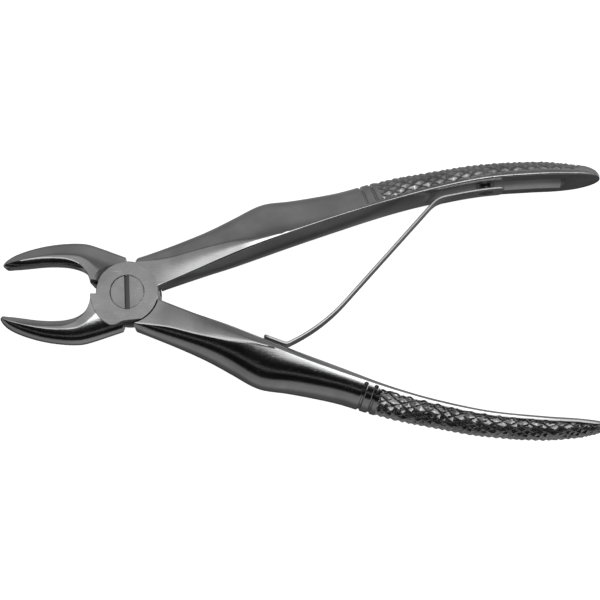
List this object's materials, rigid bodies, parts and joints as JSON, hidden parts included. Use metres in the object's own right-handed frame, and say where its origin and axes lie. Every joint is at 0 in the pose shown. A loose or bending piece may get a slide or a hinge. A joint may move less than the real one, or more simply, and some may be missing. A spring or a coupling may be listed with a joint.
{
  "type": "extraction forceps",
  "caption": "Small dental extraction forceps: two forged halves crossing at a slotted pivot screw, curved hollowed beaks, textured handles and a leaf spring between them.",
  "frame": {"origin": "on the pivot axis, at the back face of the joint (the pivot screw's tail)", "axes": "+X from the pivot to the handle ends, +Z along the pivot axis from the back half to the front half, +Y to the handle that carries the spring"},
  "size_m": [0.1253, 0.0588, 0.015],
  "materials": {
    "forged_steel": "satin polished stainless steel, with a coarse diamond knurl on the handles",
    "screw_steel": "satin stainless steel, turned",
    "spring_steel": "bright rolled spring steel strip"
  },
  "bodies": {
    "front_half": {"front_half": "forged_steel", "spring_root": "spring_steel", "spring_screw": "screw_steel"},
    "back_half": {"back_half": "forged_steel", "pivot_screw": "screw_steel"},
    "spring_arm": {"spring_arm": "spring_steel"}
  },
  "joints": [
    {"name": "closing", "type": "hinge", "parent": "front_half", "child": "back_half", "pos_m": [0, 0, 0], "axis": [0, 0, 1], "range_deg": [0, 16], "stiffness_Nm_per_rad": 0.7, "deforming": ["spring_arm"]},
    {"name": "spring_flex", "type": "hinge", "parent": "front_half", "child": "spring_arm", "pos_m": [0.0643, 0.021, 0.0035], "axis": [0, 0, 1], "range_deg": [-17, 0]}
  ],
  "couplings": [
    {"joint": "spring_flex", "follows": "closing", "ratio": -1.04}
  ]
}
